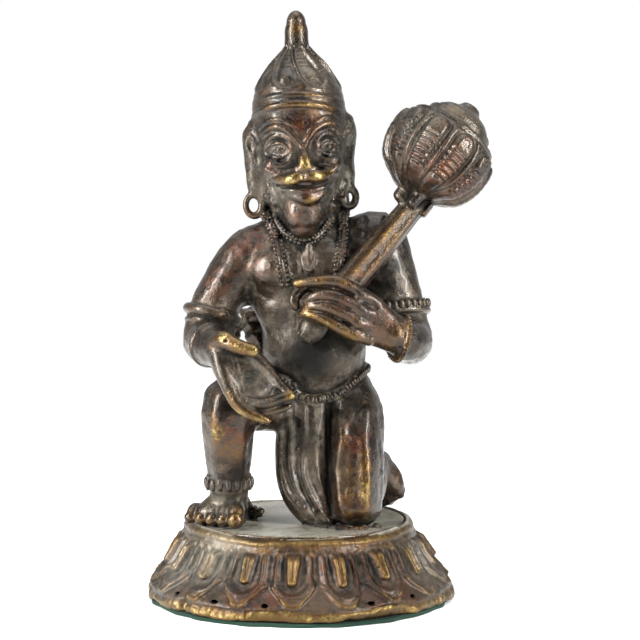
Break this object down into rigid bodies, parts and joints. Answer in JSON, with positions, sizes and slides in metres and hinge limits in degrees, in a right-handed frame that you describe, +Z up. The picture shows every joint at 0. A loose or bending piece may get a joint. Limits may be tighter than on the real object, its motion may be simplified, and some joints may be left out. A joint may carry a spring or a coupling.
{
  "type": "hanuman figure",
  "caption": "Kneeling monkey-faced attendant figure with conical crown and shouldered mace on a hollow lotus plinth, cast bronze with felt underneath.",
  "frame": {"origin": "centre of the felt's underside, on the plinth's axis", "axes": "+Z up, the figure faces -Y, its own right side is at -X"},
  "size_m": [0.1138, 0.102, 0.192],
  "materials": {
    "patinated_bronze": "dark brown patina, polished where it is handled",
    "worn_bronze": "dark patina, brassy along the rim and petal ridges",
    "green_felt": "dense wool felt"
  },
  "bodies": {
    "root": {"figure": "patinated_bronze", "lotus_plinth": "worn_bronze", "felt_pad": "green_felt"}
  },
  "joints": []
}
